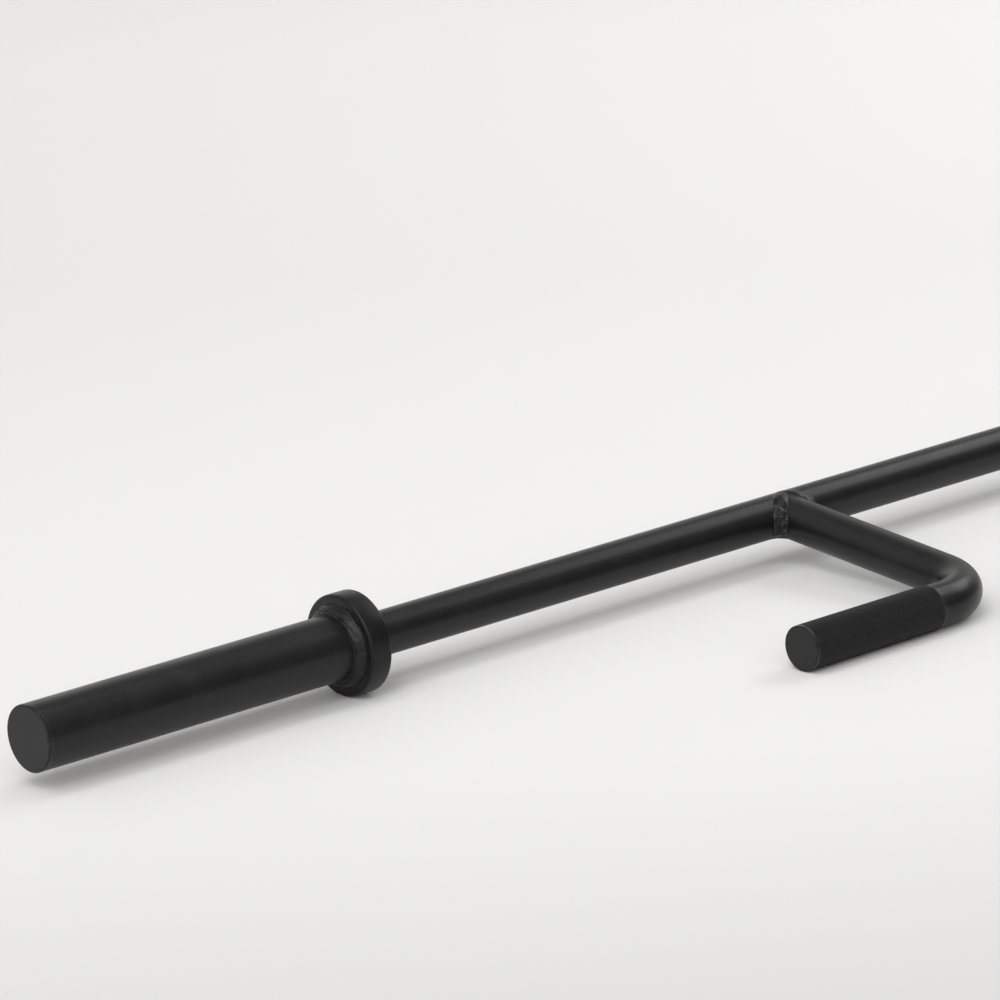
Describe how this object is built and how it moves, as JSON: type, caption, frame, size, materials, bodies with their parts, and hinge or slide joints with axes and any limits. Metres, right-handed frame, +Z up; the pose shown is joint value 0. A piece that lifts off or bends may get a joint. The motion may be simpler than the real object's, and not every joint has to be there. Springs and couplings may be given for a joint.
{
  "type": "t bar row lever",
  "caption": "Black steel T-bar row lever: plate-loading sleeve with a collar, one knurled side handle, and a swivelling hinged floor pivot.",
  "frame": {"origin": "middle of the floor base plate's underside, on the floor", "axes": "-X along the bar from the pivot to the loading sleeve's tip, -Y towards the handle's side, +Z up"},
  "size_m": [1.725, 0.3322, 0.077],
  "materials": {
    "black_coat": "satin black powder coat",
    "knurled_coat": "matt black coat over diamond knurl",
    "base_coat": "satin black powder coat",
    "zinc_steel": "zinc-plated",
    "bronze": "plain sintered bronze",
    "nylon": "plain nylon"
  },
  "bodies": {
    "base": {"base_plate": "base_coat", "king_pin": "zinc_steel", "king_nut": "zinc_steel", "king_washer": "zinc_steel", "thrust_disc": "nylon", "floor_bolt_1": "zinc_steel", "floor_bolt_2": "zinc_steel", "floor_bolt_3": "zinc_steel", "floor_bolt_4": "zinc_steel", "floor_washer_1": "zinc_steel", "floor_washer_2": "zinc_steel", "floor_washer_3": "zinc_steel", "floor_washer_4": "zinc_steel"},
    "swivel": {"swivel_fork": "base_coat", "swivel_bush": "bronze", "ear_near": "base_coat", "ear_far": "base_coat", "hinge_pin": "zinc_steel", "hinge_nut": "zinc_steel", "pin_washer_near": "zinc_steel", "pin_washer_far": "zinc_steel"},
    "lever": {"pivot_tube": "black_coat", "pivot_bush_near": "bronze", "pivot_bush_far": "bronze", "pivot_weld": "black_coat", "shaft_tube": "black_coat", "loading_sleeve": "black_coat", "sleeve_end_cap": "black_coat", "collar_flange": "black_coat", "sleeve_weld": "black_coat", "shaft_weld": "black_coat", "handle_arm": "black_coat", "handle_weld": "black_coat", "knurled_grip": "knurled_coat", "grip_end_plug": "black_coat"}
  },
  "joints": [
    {"name": "swivel_turn", "type": "hinge", "parent": "base", "child": "swivel", "pos_m": [0.032, 0, 0.013], "axis": [0, 0, 1], "range_deg": [-60, 60]},
    {"name": "lever_lift", "type": "hinge", "parent": "swivel", "child": "lever", "pos_m": [-0.025, 0, 0.0385], "axis": [0, 1, 0], "range_deg": [0, 70]}
  ]
}
